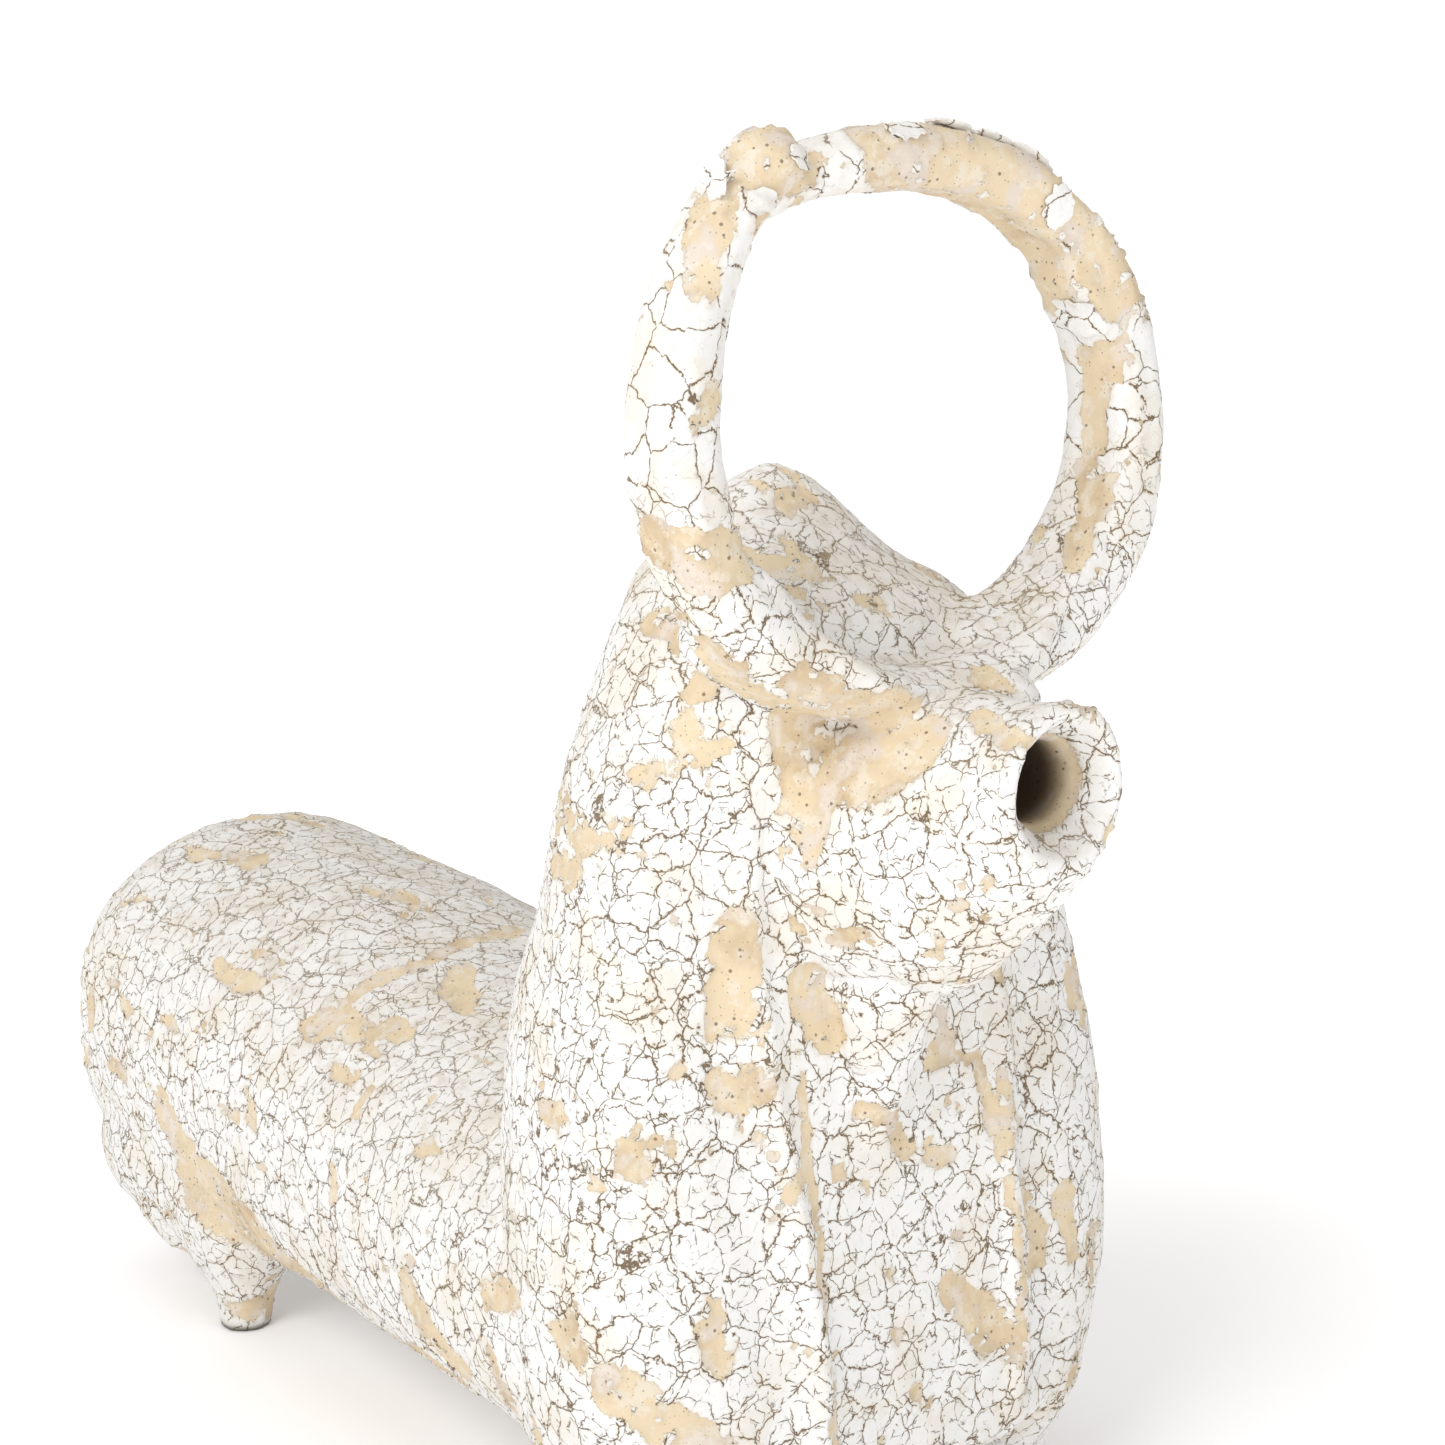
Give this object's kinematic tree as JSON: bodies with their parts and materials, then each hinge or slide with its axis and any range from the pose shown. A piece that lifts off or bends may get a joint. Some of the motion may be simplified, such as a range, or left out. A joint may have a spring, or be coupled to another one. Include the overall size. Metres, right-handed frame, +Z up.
{
  "type": "bull figure",
  "caption": "Hand-built hollow stoneware bull with an upright ring of horns, a bored snout and stub legs, under crackled white slip.",
  "frame": {"origin": "on the floor, under the middle of the whole length and width", "axes": "+Z up; the bull faces -Y; X is its width, with its right side towards -X"},
  "size_m": [0.2, 0.455, 0.4113],
  "materials": {
    "crackle_slip": "matt white slip, crackled over buff stoneware",
    "bare_clay": "unglazed buff stoneware with dark grog"
  },
  "bodies": {
    "root": {"hind_barrel": "crackle_slip", "rump_cap": "crackle_slip", "forequarters_shell": "crackle_slip", "chest_panel": "crackle_slip", "withers_cap": "crackle_slip", "face_block": "crackle_slip", "jaw_wedge": "crackle_slip", "muzzle_tube": "crackle_slip", "brow_band": "bare_clay", "right_horn": "crackle_slip", "left_horn": "crackle_slip", "right_fore_leg": "crackle_slip", "left_fore_leg": "crackle_slip", "right_hind_leg": "crackle_slip", "left_hind_leg": "crackle_slip"}
  },
  "joints": []
}
